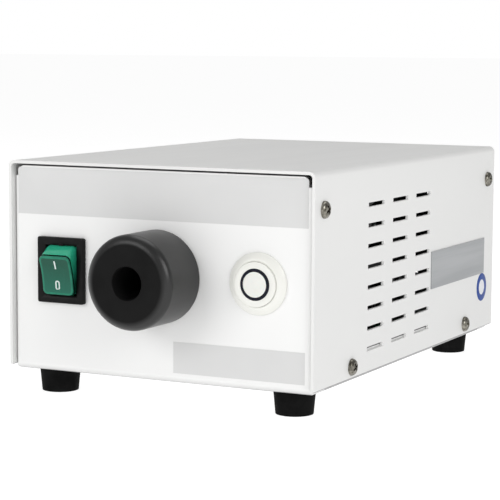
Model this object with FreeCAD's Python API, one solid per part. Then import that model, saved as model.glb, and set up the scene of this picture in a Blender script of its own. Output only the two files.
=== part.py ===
"""Fiber optic illuminator: a bench light source that feeds a light guide.

Millimetres, +Z up, front towards -Y. The origin is on the bench, under the
middle of the whole object. Every sub-part is one STEP file in parts/.
Threads, screw shanks, nuts and the small fasteners inside are left out: pieces
seat on each other face to face.
"""
import FreeCAD
import Part
import math
import os

V = FreeCAD.Vector

# ---- driving dimensions: housing ------------------------------------------
COVER_W = 160.0          # over the two sides
COVER_D = 236.0          # front edge to rear edge
COVER_H = 98.0           # lower edge to top
COVER_SHEET = 1.5        # sheet-metal thickness of the cover
SHEET = 1.2              # sheet-metal thickness of the chassis
COVER_BEND = 3.0         # outer bend radius of the cover
CHASSIS_BEND = 3.5       # outer bend radius at the feet of the front and rear panels
FLANGE_BEND = 2.0        # outer bend radius of the side flanges
PANEL_RECESS = 2.5       # front and rear panels behind the cover's edges
CHASSIS_DROP = 2.1       # chassis floor's underside below the cover's edge
CHASSIS_GAP = 0.2        # between the chassis flanges and the cover's sides
PANEL_TOP_GAP = 1.0      # between the panels and the cover's top
SEAM = 14.0              # depth of the panels' flanges, and of their strip of floor
FOOT_H = 11.5

# ---- driving dimensions: what stands on the front and rear ------------------
AXIS_Z = 46.8            # height of all front controls above the cover's edge
COLLAR_REACH = 26.5      # collar in front of the cover's front edge
REAR_REACH = 1.4         # fuse drawer and inlet behind the cover's rear edge

# ---- shared planes, worked out ----------------------------------------------
BASE_Z = FOOT_H + CHASSIS_DROP               # cover's lower edge
TOP_Z = BASE_Z + COVER_H
FRONT_Y = (COLLAR_REACH - REAR_REACH - COVER_D) / 2.0   # cover's front edge
REAR_Y = FRONT_Y + COVER_D
PANEL_Y = FRONT_Y + PANEL_RECESS             # outside of the front panel
PANEL_IN_Y = PANEL_Y + SHEET
BACK_Y = REAR_Y - PANEL_RECESS               # outside of the rear panel
BACK_IN_Y = BACK_Y - SHEET
UNDER_Z = FOOT_H                             # underside of the chassis floor
FLOOR_Z = UNDER_Z + SHEET                    # its inside face
INNER_X = COVER_W / 2.0 - COVER_SHEET            # inside face of the cover's side
FLANGE_X = INNER_X - CHASSIS_GAP             # outside face of a side flange
PANEL_TOP_Z = TOP_Z - COVER_SHEET - PANEL_TOP_GAP
AXIS = BASE_Z + AXIS_Z

# ---- ventilation slots in the cover's sides -----------------------------------
SLOT_ROWS = 8
SLOT_COLUMNS = 3
SLOT_L = 19.4
SLOT_H = 2.0
SLOT_PITCH_Y = 30.06
SLOT_PITCH_Z = 9.73
SLOT_FIRST_Y = 60.3      # front end of the first column, from the cover's edge
SLOT_TOP_Z = 79.05       # middle of the top row, above the cover's lower edge

# ---- cover screws: distance from the front edge and height above the lower edge --
COVER_SCREWS = [(10.0, 80.7), (225.0, 80.7), (42.2, 5.3), (192.8, 5.3)]
HEAD_R = 4.0
HEAD_H = 2.4

# ---- feet and rating plate ------------------------------------------------------
FOOT_X = 62.7
FOOT_FRONT = 17.5        # from the cover's front edge
FOOT_REAR = 215.5
FOOT_TOP_R = 9.9
FOOT_BASE_R = 8.8
PLATE_FRONT = 142.0      # plate on the right side, from the cover's front edge
PLATE_L = 79.0
PLATE_H = 19.1
PLATE_T = 0.4
PLATE_LOW = 29.9         # its lower edge above the cover's lower edge

# ---- power rocker switch --------------------------------------------------------
SWITCH_X = -51.6
BEZEL_W = 25.2
BEZEL_H = 31.2
BEZEL_T = 2.3
SWITCH_BODY_W = 21.2
SWITCH_BODY_H = 27.6
SWITCH_BODY_D = 22.0
ROCKER_W = 16.5
ROCKER_CHORD = 9.35      # half the height of the rocker's face
ROCKER_RISE = 9.3        # face edge above the pivot
ROCKER_DISH = 1.0        # hollow of the face
ROCKER_REACH = 12.3      # radius of its end walls inside the well
ROCKER_PIVOT = 5.0       # pivot behind the bezel's face
ROCKER_TILT = 13.5       # each way from the middle
ROCKER_GAP = 0.35
TRUNNION_R = 1.6
TRUNNION_L = 1.3

# ---- light port ------------------------------------------------------------------
COLLAR_R = 21.8
COLLAR_ROUND = 4.3
BORE_R = 7.5             # takes a 15 mm light-guide ferrule
SPIGOT_R = 12.0
SPIGOT_END = 14.0        # spigot behind the front panel's outside

# ---- touch switch: depths are from the front panel's outside ------------------------
TOUCH_X = 51.5
TOUCH_BEZEL_R = 14.2
TOUCH_BEZEL_STAND = 3.2
TOUCH_BEZEL_RIM = 0.9    # straight edge that meets the panel
TOUCH_BARREL_R = 12.0
TOUCH_BARREL_D = 20.0
TOUCH_CAP_R = 10.15
TOUCH_CAP_STAND = 4.2
TOUCH_GAP = 0.3
TOUCH_RING_R = 7.25
TOUCH_LENS_R = 5.92
TOUCH_LENS_STAND = 4.5
TOUCH_SEAT = 2.8         # floor of the cap's recess

# ---- optics: places along the axis, from the cover's front edge ---------------------
SINK_FRONT = 58.0
SINK_BASE = 6.0
SINK_W = 84.0
SINK_H = 76.0
SINK_LOW = BASE_Z + 10.0
FIN_COUNT = 13
FIN_T = 1.6
FIN_DEPTH = 32.0
LENS_FRONT = 32.0
LENS_R = 12.5
LENS_T = 8.0
HOLDER_W = 38.0

# ---- fan and rear panel ------------------------------------------------------------
FAN_X = 38.0
FAN_Z = BASE_Z + 50.0
FAN_SIZE = 60.0
FAN_DEPTH = 25.0
FAN_DUCT_R = 28.4
FAN_HUB_R = 13.6
FAN_BLADES = 7
GRILLE_PITCH = 5.6
GRILLE_SLOT = 3.2
INLET_X = -42.0
INLET_Z = BASE_Z + 45.0
INLET_T = 2.2
SOCKET_Z = INLET_Z + 6.0
DRAWER_Z = INLET_Z - 9.2
DRAWER_W = 22.6
DRAWER_H = 7.4
DRAWER_D = 17.0
DRAWER_STAND = REAR_REACH + PANEL_RECESS - INLET_T   # behind the inlet's flange
FUSE_R = 2.6
FUSE_Y = BACK_Y + INLET_T - DRAWER_D + 4.4

# ---- circuit boards: x from, x to, y from, y to ----------------------------------------
POST_H = 8.0
BOARD_T = 1.6
BOARD_TOP = FLOOR_Z + POST_H + BOARD_T
POWER_BOARD = (-72.0, -14.0, FRONT_Y + 104.0, FRONT_Y + 192.0)
CONTROL_BOARD = (14.0, 64.0, FRONT_Y + 104.0, FRONT_Y + 172.0)

parts = {}


# ---- small helpers ------------------------------------------------------------
def box(x0, x1, y0, y1, z0, z1):
    """A box between two limits on each axis."""
    return Part.makeBox(x1 - x0, y1 - y0, z1 - z0, V(x0, y0, z0))


def block_y(x, z, width, height, y0, y1):
    """A box centred on a line along Y."""
    return box(x - width / 2, x + width / 2, y0, y1, z - height / 2, z + height / 2)


def rod_x(y, z, x0, x1, r):
    return Part.makeCylinder(r, x1 - x0, V(x0, y, z), V(1, 0, 0))


def rod_y(x, z, y0, y1, r):
    return Part.makeCylinder(r, y1 - y0, V(x, y0, z), V(0, 1, 0))


def rod_z(x, y, z0, z1, r):
    return Part.makeCylinder(r, z1 - z0, V(x, y, z0), V(0, 0, 1))


def turned_y(x, z, profile):
    """Solid of revolution about a line along Y, from (radius, y) points."""
    points = [V(r, y, 0) for r, y in profile]
    body = Part.Face(Part.makePolygon(points + points[:1])).revolve(V(0, 0, 0), V(0, 1, 0), 360)
    body.translate(V(x, 0, z))
    return body


def hexagon(across, low, high):
    """Hexagonal prism about Z, by its width across flats."""
    corner = across / math.sqrt(3.0)
    points = [V(corner * math.cos(math.radians(60 * i)), corner * math.sin(math.radians(60 * i)), low)
              for i in range(7)]
    return Part.Face(Part.makePolygon(points)).extrude(V(0, 0, high - low))


def fuse_all(shapes):
    """One solid from touching shapes."""
    return shapes[0].fuse(shapes[1:]).removeSplitter()


def group(shapes):
    """Separate solids kept together in one node."""
    return Part.makeCompound(shapes)


def lines_along(shape, axis, test=lambda middle: True):
    """Straight edges parallel to an axis vector, filtered by a test on their middle."""
    return [edge for edge in shape.Edges if isinstance(edge.Curve, Part.Line)
            and edge.Curve.Direction.cross(axis).Length < 1e-6 and test(edge.CenterOfMass)]


# ---- housing --------------------------------------------------------------------
def make_cover():
    """U-shaped cover: outer block less inner block, both with rounded top edges, then the slots."""
    half = COVER_W / 2.0
    top_edge = lambda c: c.z > TOP_Z - 10
    outer = box(-half, half, FRONT_Y, REAR_Y, BASE_Z, TOP_Z)
    outer = outer.makeFillet(COVER_BEND, lines_along(outer, V(0, 1, 0), top_edge))
    inner = box(-INNER_X, INNER_X, FRONT_Y - 1, REAR_Y + 1, BASE_Z - 1, TOP_Z - COVER_SHEET)
    inner = inner.makeFillet(COVER_BEND - COVER_SHEET, lines_along(inner, V(0, 1, 0), top_edge))
    slots = []
    for column in range(SLOT_COLUMNS):
        y0 = FRONT_Y + SLOT_FIRST_Y + column * SLOT_PITCH_Y
        for row in range(SLOT_ROWS):
            z = BASE_Z + SLOT_TOP_Z - row * SLOT_PITCH_Z
            slots.append(box(-half - 1, half + 1, y0, y0 + SLOT_L, z - SLOT_H / 2, z + SLOT_H / 2))
    return outer.cut(inner).cut(slots)


def tray_block(shrink):
    """Block with the bend radii of the folded tray, shrunk by the sheet for its inside."""
    x = FLANGE_X - shrink
    y0, y1 = PANEL_Y + shrink, BACK_Y - shrink
    z0, z1 = UNDER_Z + shrink, PANEL_TOP_Z + shrink
    low = lambda c: c.z < z0 + 1
    whole = box(-x, x, y0, y1, z0, z1)
    ends = whole.makeFillet(CHASSIS_BEND - shrink, lines_along(whole, V(1, 0, 0), low))
    sides = whole.makeFillet(FLANGE_BEND - shrink, lines_along(whole, V(0, 1, 0), low))
    corners = whole.makeFillet(FLANGE_BEND - shrink, lines_along(whole, V(0, 0, 1)))
    return ends.common(sides).common(corners)


def make_tray():
    """Floor, front and rear panels with their flanges, before it is split at the seams."""
    tray = tray_block(0).cut(tray_block(SHEET))
    floor_flange = 11.4      # height of the floor's side flanges
    relief = 3.0             # gap between neighbouring flanges
    step_in = 2.8            # the panels' top corners stand back from the flanges
    flange_top = BASE_Z + 90.8
    inside = FLANGE_X - FLANGE_BEND
    cutters = []
    for side in (-1, 1):
        x0, x1 = sorted((side * inside, side * COVER_W))
        cutters.append(box(x0, x1, PANEL_Y + SEAM, BACK_Y - SEAM, BASE_Z + floor_flange, TOP_Z))
        for y0 in (PANEL_Y + SEAM, BACK_Y - SEAM - relief):
            cutters.append(box(x0, x1, y0, y0 + relief, BASE_Z + 1.0, TOP_Z))
        for y0, y1 in ((PANEL_IN_Y, PANEL_Y + SEAM), (BACK_Y - SEAM, BACK_IN_Y)):
            cutters.append(box(x0, x1, y0, y1, flange_top, TOP_Z))
        x0, x1 = sorted((side * (FLANGE_X - step_in), side * COVER_W))
        cutters.append(box(x0, x1, PANEL_Y - 1, BACK_Y + 1, flange_top, TOP_Z))
    tray = tray.cut(cutters)
    top_corner = lambda c: c.z > PANEL_TOP_Z - 0.1
    return tray.makeFillet(2.4, lines_along(tray, V(0, 1, 0), top_corner))


def tray_between(y0, y1):
    return make_tray().common(box(-COVER_W, COVER_W, y0, y1, 0, TOP_Z))


def make_front_panel():
    """Front panel with its flanges and cut-outs for the switches and the light port."""
    y0, y1 = PANEL_Y - 1, PANEL_IN_Y + 1
    holes = [block_y(SWITCH_X, AXIS, SWITCH_BODY_W + 0.4, SWITCH_BODY_H + 0.4, y0, y1),
             rod_y(0, AXIS, y0, y1, SPIGOT_R + 0.2),
             rod_y(TOUCH_X, AXIS, y0, y1, TOUCH_BARREL_R + 0.2)]
    return tray_between(PANEL_Y - 1, PANEL_Y + SEAM).cut(holes)


def make_rear_panel():
    """Rear panel: a slotted grille that follows the fan's duct, and the inlet's cut-out."""
    y0, y1 = BACK_IN_Y - 1, BACK_Y + 1
    reach = FAN_DUCT_R - 1.0
    rows = int(reach / GRILLE_PITCH)
    cuts = [block_y(INLET_X, INLET_Z, 28.4, 31.4, y0, y1)]
    for row in range(-rows, rows + 1):
        dz = row * GRILLE_PITCH
        half = math.sqrt(reach * reach - (abs(dz) + GRILLE_SLOT / 2) ** 2)
        cuts.append(block_y(FAN_X, FAN_Z + dz, 2 * half, GRILLE_SLOT, y0, y1))
    return tray_between(BACK_Y - SEAM, BACK_Y + 1).cut(cuts)


def make_rating_plate():
    """Blank aluminium plate on the right side."""
    x, y0, z0 = COVER_W / 2.0, FRONT_Y + PLATE_FRONT, BASE_Z + PLATE_LOW
    return box(x, x + PLATE_T, y0, y0 + PLATE_L, z0, z0 + PLATE_H)


def make_cover_screws(side):
    """Screw heads that hold the cover to the chassis flanges."""
    x0, x1 = sorted((side * COVER_W / 2.0, side * (COVER_W / 2.0 + HEAD_H)))
    return group([rod_x(FRONT_Y + y, BASE_Z + z, x0, x1, HEAD_R) for y, z in COVER_SCREWS])


def make_feet():
    """Four tapered rubber feet."""
    return group([Part.makeCone(FOOT_BASE_R, FOOT_TOP_R, FOOT_H, V(x, FRONT_Y + y, 0))
                  for x in (-FOOT_X, FOOT_X) for y in (FOOT_FRONT, FOOT_REAR)])


# ---- power rocker switch ----------------------------------------------------------
def make_switch_body():
    """Bezel and body in one moulding, with the rocker's well and a pocket for each trunnion."""
    face = PANEL_Y - BEZEL_T
    bezel = block_y(SWITCH_X, AXIS, BEZEL_W, BEZEL_H, face, PANEL_Y)
    bezel = bezel.makeChamfer(0.6, [e for e in bezel.Edges if abs(e.BoundBox.YMax - face) < 1e-6])
    body = block_y(SWITCH_X, AXIS, SWITCH_BODY_W, SWITCH_BODY_H, PANEL_Y, PANEL_Y + SWITCH_BODY_D)
    reach = ROCKER_REACH + ROCKER_GAP
    well_w = ROCKER_W + 2 * ROCKER_GAP
    well = block_y(SWITCH_X, AXIS, well_w, 2 * reach, face - 1, face + 17.0)
    pivot = face + ROCKER_PIVOT
    room = TRUNNION_R + 0.05
    pockets = block_y(SWITCH_X, AXIS, ROCKER_W + 2 * TRUNNION_L + 0.4, 2 * room, pivot - room, pivot + room)
    return bezel.fuse(body).removeSplitter().cut([well, pockets])


def make_rocker():
    """Hollow rocker with a dished face and flared ends: built level about its pivot, then tilted to off."""
    def on_side(degrees, sign):
        angle = math.radians(degrees)
        return V(0, -ROCKER_REACH * math.cos(angle), sign * ROCKER_REACH * math.sin(angle))

    top, bottom = V(0, -ROCKER_RISE, ROCKER_CHORD), V(0, -ROCKER_RISE, -ROCKER_CHORD)
    edges = [Part.Arc(bottom, V(0, ROCKER_DISH - ROCKER_RISE, 0), top).toShape(),
             Part.LineSegment(top, on_side(79, 1)).toShape(),
             Part.Arc(on_side(79, 1), on_side(91, 1), on_side(103, 1)).toShape(),
             Part.LineSegment(on_side(103, 1), on_side(103, -1)).toShape(),
             Part.Arc(on_side(103, -1), on_side(91, -1), on_side(79, -1)).toShape(),
             Part.LineSegment(on_side(79, -1), bottom).toShape()]
    cap = Part.Face(Part.Wire(edges)).extrude(V(ROCKER_W, 0, 0))
    cap.translate(V(-ROCKER_W / 2, 0, 0))
    wall = 1.4
    cap = cap.cut(box(wall - ROCKER_W / 2, ROCKER_W / 2 - wall, -5.5, 5, -9.4, 9.4))
    pin = rod_x(0, 0, ROCKER_W / 2 - wall, ROCKER_W / 2 + TRUNNION_L, TRUNNION_R)
    cap = fuse_all([cap, pin, pin.mirror(V(0, 0, 0), V(1, 0, 0))])
    cap.rotate(V(0, 0, 0), V(1, 0, 0), ROCKER_TILT)
    cap.translate(V(SWITCH_X, PANEL_Y - BEZEL_T + ROCKER_PIVOT, AXIS))
    return cap


def make_switch_terminals():
    """Four blades that stand out of the back of the switch, with chamfered tips."""
    y = PANEL_Y + SWITCH_BODY_D
    blades = []
    for dx in (-5.0, 5.0):
        for dz in (-8.0, 2.0):
            blade = block_y(SWITCH_X + dx, AXIS + dz, 0.8, 6.3, y, y + 9.0)
            blades.append(blade.makeChamfer(1.2, lines_along(blade, V(1, 0, 0), lambda c: c.y > y + 8)))
    return group(blades)


# ---- light port ------------------------------------------------------------------
def make_collar():
    """Turned collar: two chamfers round its shoulder, a ferrule bore, and a spigot through the panel."""
    face = FRONT_Y - COLLAR_REACH
    shoulder = [(COLLAR_R - COLLAR_ROUND * (1 - math.sin(a)), face + COLLAR_ROUND * (1 - math.cos(a)))
                for a in (0, math.pi / 4, math.pi / 2)]
    return turned_y(0, AXIS, [(BORE_R, face)] + shoulder
                    + [(COLLAR_R, PANEL_Y), (SPIGOT_R, PANEL_Y), (SPIGOT_R, PANEL_Y + SPIGOT_END),
                       (BORE_R, PANEL_Y + SPIGOT_END)])


# ---- touch switch -----------------------------------------------------------------
def make_touch_bezel():
    """Sloping ring in front of the panel, on a barrel that goes through it."""
    lip = TOUCH_CAP_R + TOUCH_GAP
    end = PANEL_Y + TOUCH_BARREL_D
    return turned_y(TOUCH_X, AXIS, [(lip, PANEL_Y - TOUCH_BEZEL_STAND), (TOUCH_BEZEL_R, PANEL_Y - TOUCH_BEZEL_RIM),
                                    (TOUCH_BEZEL_R, PANEL_Y), (TOUCH_BARREL_R, PANEL_Y),
                                    (TOUCH_BARREL_R, end), (lip, end)])


def make_touch_cap():
    """Button disc with a seat for the ring and lens, and a square plunger behind it."""
    front, back = PANEL_Y - TOUCH_CAP_STAND, PANEL_Y + 1.2
    disc = rod_y(TOUCH_X, AXIS, front, back, TOUCH_CAP_R)
    disc = disc.cut(rod_y(TOUCH_X, AXIS, front - 1, PANEL_Y - TOUCH_SEAT, TOUCH_RING_R))
    return disc.fuse(block_y(TOUCH_X, AXIS, 5.0, 5.0, back, PANEL_Y + TOUCH_BARREL_D - 2.0)).removeSplitter()


def make_touch_ring():
    """Dark disc in the cap's seat; the lens covers all of it but a ring."""
    return rod_y(TOUCH_X, AXIS, PANEL_Y - TOUCH_CAP_STAND, PANEL_Y - TOUCH_SEAT, TOUCH_RING_R)


def make_touch_lens():
    return rod_y(TOUCH_X, AXIS, PANEL_Y - TOUCH_LENS_STAND, PANEL_Y - TOUCH_CAP_STAND, TOUCH_LENS_R)


def make_touch_contacts():
    """Contact block that closes the barrel, with two blades."""
    y = PANEL_Y + TOUCH_BARREL_D
    block = block_y(TOUCH_X, AXIS, 20.0, 20.0, y, y + 8.0)
    return fuse_all([block] + [block_y(TOUCH_X + dx, AXIS, 2.8, 0.8, y + 8.0, y + 13.0) for dx in (-5, 5)])


# ---- optics -----------------------------------------------------------------------
def make_lens_holder():
    """Square plate that carries the lens on four legs, which stand on the heat sink."""
    y0, foot = FRONT_Y + LENS_FRONT, FRONT_Y + SINK_FRONT
    plate = block_y(0, AXIS, HOLDER_W, HOLDER_W, y0, y0 + 7.0)
    reach = HOLDER_W / 2 - 2.5
    legs = [block_y(sx * reach, AXIS + sz * reach, 5.0, 5.0, y0 + 6.0, foot) for sx in (-1, 1) for sz in (-1, 1)]
    return fuse_all([plate] + legs).cut(rod_y(0, AXIS, y0 - 1, y0 + 8.0, LENS_R + 0.05))


def make_condenser_lens():
    """Lens blank, as thick as its crown, pressed into the holder."""
    y0 = FRONT_Y + LENS_FRONT - 1.0
    return rod_y(0, AXIS, y0, y0 + LENS_T, LENS_R)


def make_led_board():
    """Hexagonal metal-core board under the emitter."""
    board = hexagon(20.0, FRONT_Y + SINK_FRONT - 1.6, FRONT_Y + SINK_FRONT)
    board.rotate(V(0, 0, 0), V(1, 0, 0), -90)
    board.translate(V(0, 0, AXIS))
    return board


def make_led_emitter():
    """Ceramic base with a raised square of phosphor."""
    y = FRONT_Y + SINK_FRONT - 1.6
    return fuse_all([block_y(0, AXIS, 9.0, 9.0, y - 1.0, y), block_y(0, AXIS, 5.6, 5.6, y - 1.6, y - 1.0)])


def make_heatsink():
    """Base plate with a row of upright fins."""
    y0 = FRONT_Y + SINK_FRONT
    base = box(-SINK_W / 2, SINK_W / 2, y0, y0 + SINK_BASE, SINK_LOW, SINK_LOW + SINK_H)
    pitch = (SINK_W - FIN_T) / (FIN_COUNT - 1)
    fins = []
    for i in range(FIN_COUNT):
        x = -SINK_W / 2 + i * pitch
        fins.append(box(x, x + FIN_T, y0 + SINK_BASE - 0.5, y0 + SINK_BASE + FIN_DEPTH,
                        SINK_LOW + 1.0, SINK_LOW + SINK_H - 1.0))
    return fuse_all([base] + fins)


def make_sink_bracket(side):
    """Bent angle bracket: one leg on the heat sink's front, one on the floor."""
    thick = 1.5
    y1 = FRONT_Y + SINK_FRONT
    x0, x1 = sorted((side * 25.5, side * 45.0))
    outer = box(x0, x1, y1 - 18.0, y1, FLOOR_Z, FLOOR_Z + 46.0)
    heel = lambda c: c.y > y1 - 2 and c.z < FLOOR_Z + 2
    outer = outer.makeFillet(2.5, lines_along(outer, V(1, 0, 0), heel))
    inner = box(x0 - 1, x1 + 1, y1 - 19.0, y1 - thick, FLOOR_Z + thick, FLOOR_Z + 50.0)
    inner = inner.makeFillet(1.0, lines_along(inner, V(1, 0, 0), heel))
    return outer.cut(inner)


# ---- fan --------------------------------------------------------------------------
def make_fan_frame():
    """Square frame with a round duct and a bearing plate on four struts."""
    y0, y1 = BACK_IN_Y - FAN_DEPTH, BACK_IN_Y
    frame = block_y(FAN_X, FAN_Z, FAN_SIZE, FAN_SIZE, y0, y1)
    frame = frame.makeChamfer(2.5, lines_along(frame, V(0, 1, 0)))
    frame = frame.cut(rod_y(FAN_X, FAN_Z, y0 - 1, y1 + 1, FAN_DUCT_R))
    pieces = [frame, block_y(FAN_X, FAN_Z, 22.0, 22.0, y1 - 3.0, y1)]
    for angle in (45, 135, 225, 315):
        strut = box(12.0, FAN_DUCT_R + 0.8, y1 - 3.0, y1 - 0.5, -1.2, 1.2)
        strut.rotate(V(0, 0, 0), V(0, 1, 0), angle)
        strut.translate(V(FAN_X, 0, FAN_Z))
        pieces.append(strut)
    return fuse_all(pieces).cut(rod_y(FAN_X, FAN_Z, y1 - 4.0, y1 + 1, 1.55))


def make_fan_rotor():
    """Hub with seven pitched blades and the shaft that runs in the bearing plate."""
    y0, y1 = BACK_IN_Y - FAN_DEPTH + 1.5, BACK_IN_Y - 4.0
    middle = (y0 + y1) / 2.0
    pieces = [rod_y(FAN_X, FAN_Z, y0, y1, FAN_HUB_R), rod_y(FAN_X, FAN_Z, y1, y1 + 3.0, 1.5)]
    for i in range(FAN_BLADES):
        blade = box(-9.5, 9.5, -0.6, 0.6, FAN_HUB_R - 1.5, FAN_DUCT_R - 2.0)
        blade.rotate(V(0, 0, 0), V(0, 0, 1), 42)
        blade.translate(V(0, middle, 0))
        blade.rotate(V(0, 0, 0), V(0, 1, 0), i * 360.0 / FAN_BLADES)
        blade.translate(V(FAN_X, 0, FAN_Z))
        pieces.append(blade)
    return fuse_all(pieces)


# ---- mains inlet ------------------------------------------------------------------
def make_inlet_body():
    """Inlet moulding: flange, socket well with cut lower corners, and fuse drawer slot."""
    y1 = BACK_Y + INLET_T
    flange = block_y(INLET_X, INLET_Z, 50.0, 35.0, BACK_Y, y1)
    flange = flange.makeChamfer(3.0, lines_along(flange, V(0, 1, 0)))
    body = block_y(INLET_X, INLET_Z, 28.0, 31.0, BACK_Y - 27.0, BACK_Y)
    well = block_y(INLET_X, SOCKET_Z, 24.4, 16.4, y1 - 18.0, y1 + 1)
    well = well.makeChamfer(4.0, lines_along(well, V(0, 1, 0), lambda c: c.z < SOCKET_Z))
    slot = block_y(INLET_X, DRAWER_Z, DRAWER_W + 0.5, DRAWER_H + 0.5, y1 - DRAWER_D - 1.0, y1 + 1)
    pins = [block_y(x, z, 2.04, 4.04, BACK_Y - 28, y1 - 17) for x, z in pin_places()]
    return fuse_all([flange, body]).cut([well, slot] + pins)


def pin_places():
    """Three flat blades: line and neutral low, earth high in the middle."""
    return [(INLET_X - 7.0, SOCKET_Z - 2.0), (INLET_X + 7.0, SOCKET_Z - 2.0), (INLET_X, SOCKET_Z + 2.0)]


def make_inlet_pins():
    tip = BACK_Y + INLET_T - 3.0
    pins = []
    for x, z in pin_places():
        pin = block_y(x, z, 2.0, 4.0, BACK_Y - 36.0, tip)
        pins.append(pin.makeChamfer(0.6, [e for e in pin.Edges if abs(e.CenterOfMass.y - tip) < 1e-6]))
    return group(pins)


def make_fuse_drawer():
    """Drawer with a trough for its fuse and a finger grip."""
    y1 = BACK_Y + INLET_T
    z0, z1 = DRAWER_Z - DRAWER_H / 2, DRAWER_Z + DRAWER_H / 2
    drawer = block_y(INLET_X, DRAWER_Z, DRAWER_W, DRAWER_H, y1 - DRAWER_D, y1 + DRAWER_STAND)
    trough = box(INLET_X - 10.4, INLET_X + 10.4, FUSE_Y - 2.9, FUSE_Y + 2.9, z0 + 1.0, z1 + 1)
    grip = box(INLET_X - 5, INLET_X + 5, y1 - 0.6, y1 + 2, z0 - 1, z0 + 1.4)
    return drawer.cut([trough, grip])


def make_fuse():
    """5 x 20 mm fuse across the drawer, on its trough's floor."""
    return rod_x(FUSE_Y, DRAWER_Z - DRAWER_H / 2 + 1.0 + FUSE_R, INLET_X - 10.0, INLET_X + 10.0, FUSE_R)


# ---- circuit boards -----------------------------------------------------------------
def make_board(board):
    x0, x1, y0, y1 = board
    return box(x0, x1, y0, y1, BOARD_TOP - BOARD_T, BOARD_TOP)


def make_posts(board):
    """Hexagonal posts pressed into the floor, one near each corner of a board."""
    x0, x1, y0, y1 = board
    posts = []
    for x in (x0 + 4.0, x1 - 4.0):
        for y in (y0 + 4.0, y1 - 4.0):
            post = hexagon(5.5, FLOOR_Z, FLOOR_Z + POST_H)
            post.translate(V(x, y, 0))
            posts.append(post)
    return group(posts)


def make_transformer():
    """Ferrite core with its winding between two bobbin cheeks."""
    x, y, z = POWER_BOARD[0] + 30.0, POWER_BOARD[2] + 42.0, BOARD_TOP
    core = box(x - 13, x + 13, y - 7, y + 7, z + 2, z + 24)
    core = core.cut([box(x - 9, x - 5, y - 8, y + 8, z + 6, z + 20), box(x + 5, x + 9, y - 8, y + 8, z + 6, z + 20)])
    coil = box(x - 9, x + 9, y - 11, y + 11, z + 6.5, z + 19.5)
    coil = coil.makeChamfer(3.0, lines_along(coil, V(0, 0, 1)))
    cheeks = [box(x - 10, x + 10, y - 12, y + 12, z + h, z + h + 1.4) for h in (5.0, 19.5)]
    feet = [box(x + dx - 1, x + dx + 1, y - 10, y + 10, z, z + 6) for dx in (-8, 8)]
    return fuse_all([core, coil] + cheeks + feet)


def make_capacitors():
    """One electrolytic can and two film capacitors."""
    x, y, z = POWER_BOARD[0] + 44.0, POWER_BOARD[2] + 68.0, BOARD_TOP
    films = [box(x + dx - 5, x + dx + 5, y, y + 7, z, z + 11) for dx in (-19, -31)]
    return group([rod_z(x, y, z, z + 25.0, 8.0)] + films)


def make_heat_spreader():
    """Bent aluminium plate that cools the switching transistor."""
    x, y, z = POWER_BOARD[0] + 8.0, POWER_BOARD[2] + 28.0, BOARD_TOP
    return fuse_all([box(x, x + 2, y, y + 34, z, z + 26), box(x, x + 9, y, y + 34, z + 24.5, z + 26)])


def make_terminal_blocks():
    """Terminals for the mains and the lamp leads, each with a wire mouth."""
    x, z = POWER_BOARD[0] + 14.0, BOARD_TOP
    blocks = []
    for y, mouth in ((POWER_BOARD[2] + 2.0, -1), (POWER_BOARD[3] - 11.0, 1)):
        middle = y + 4.5 + mouth * 4.5
        for i in range(3):
            x0 = x + i * 7.5
            block = box(x0, x0 + 7.3, y, y + 9, z, z + 10)
            blocks.append(block.cut(box(x0 + 1.6, x0 + 5.7, middle - 3, middle + 3, z + 2, z + 6)))
    return group(blocks)


def make_control_parts():
    """Controller, coil, socket, regulator and capacitor on the control board."""
    x, y, z = CONTROL_BOARD[0], CONTROL_BOARD[2], BOARD_TOP
    chip = box(x + 12, x + 22, y + 30, y + 40, z, z + 1.6)
    coil = box(x + 26, x + 38, y + 46, y + 58, z, z + 6)
    coil = coil.makeChamfer(2.0, lines_along(coil, V(0, 0, 1)))
    socket = box(x + 12, x + 34, y + 3, y + 9, z, z + 8).cut(box(x + 13, x + 33, y + 4, y + 8, z + 2, z + 9))
    regulator = box(x + 30, x + 40, y + 26, y + 30.5, z + 3, z + 18)
    leads = box(x + 31, x + 39, y + 28, y + 28.6, z, z + 4)
    film = box(x + 12, x + 20, y + 50, y + 55, z, z + 9)
    return group([chip, coil, socket, regulator.fuse(leads), film])


# ---- make and write ------------------------------------------------------------------
parts["cover"] = make_cover()
parts["front_panel"] = make_front_panel()
parts["chassis"] = tray_between(PANEL_Y + SEAM, BACK_Y - SEAM)
parts["rear_panel"] = make_rear_panel()
parts["rating_plate"] = make_rating_plate()
parts["cover_screws_right"] = make_cover_screws(1)
parts["cover_screws_left"] = make_cover_screws(-1)
parts["feet"] = make_feet()
parts["rocker_switch_body"] = make_switch_body()
parts["rocker_cap"] = make_rocker()
parts["rocker_switch_terminals"] = make_switch_terminals()
parts["light_port_collar"] = make_collar()
parts["touch_switch_bezel"] = make_touch_bezel()
parts["touch_button_cap"] = make_touch_cap()
parts["touch_button_ring"] = make_touch_ring()
parts["touch_button_lens"] = make_touch_lens()
parts["touch_contact_block"] = make_touch_contacts()
parts["lens_holder"] = make_lens_holder()
parts["condenser_lens"] = make_condenser_lens()
parts["led_board"] = make_led_board()
parts["led_emitter"] = make_led_emitter()
parts["heatsink"] = make_heatsink()
parts["heatsink_bracket_left"] = make_sink_bracket(-1)
parts["heatsink_bracket_right"] = make_sink_bracket(1)
parts["fan_frame"] = make_fan_frame()
parts["fan_rotor"] = make_fan_rotor()
parts["inlet_body"] = make_inlet_body()
parts["inlet_pins"] = make_inlet_pins()
parts["fuse_drawer"] = make_fuse_drawer()
parts["fuse"] = make_fuse()
parts["power_supply_board"] = make_board(POWER_BOARD)
parts["power_board_posts"] = make_posts(POWER_BOARD)
parts["transformer"] = make_transformer()
parts["capacitors"] = make_capacitors()
parts["heat_spreader"] = make_heat_spreader()
parts["terminal_blocks"] = make_terminal_blocks()
parts["control_board"] = make_board(CONTROL_BOARD)
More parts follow.
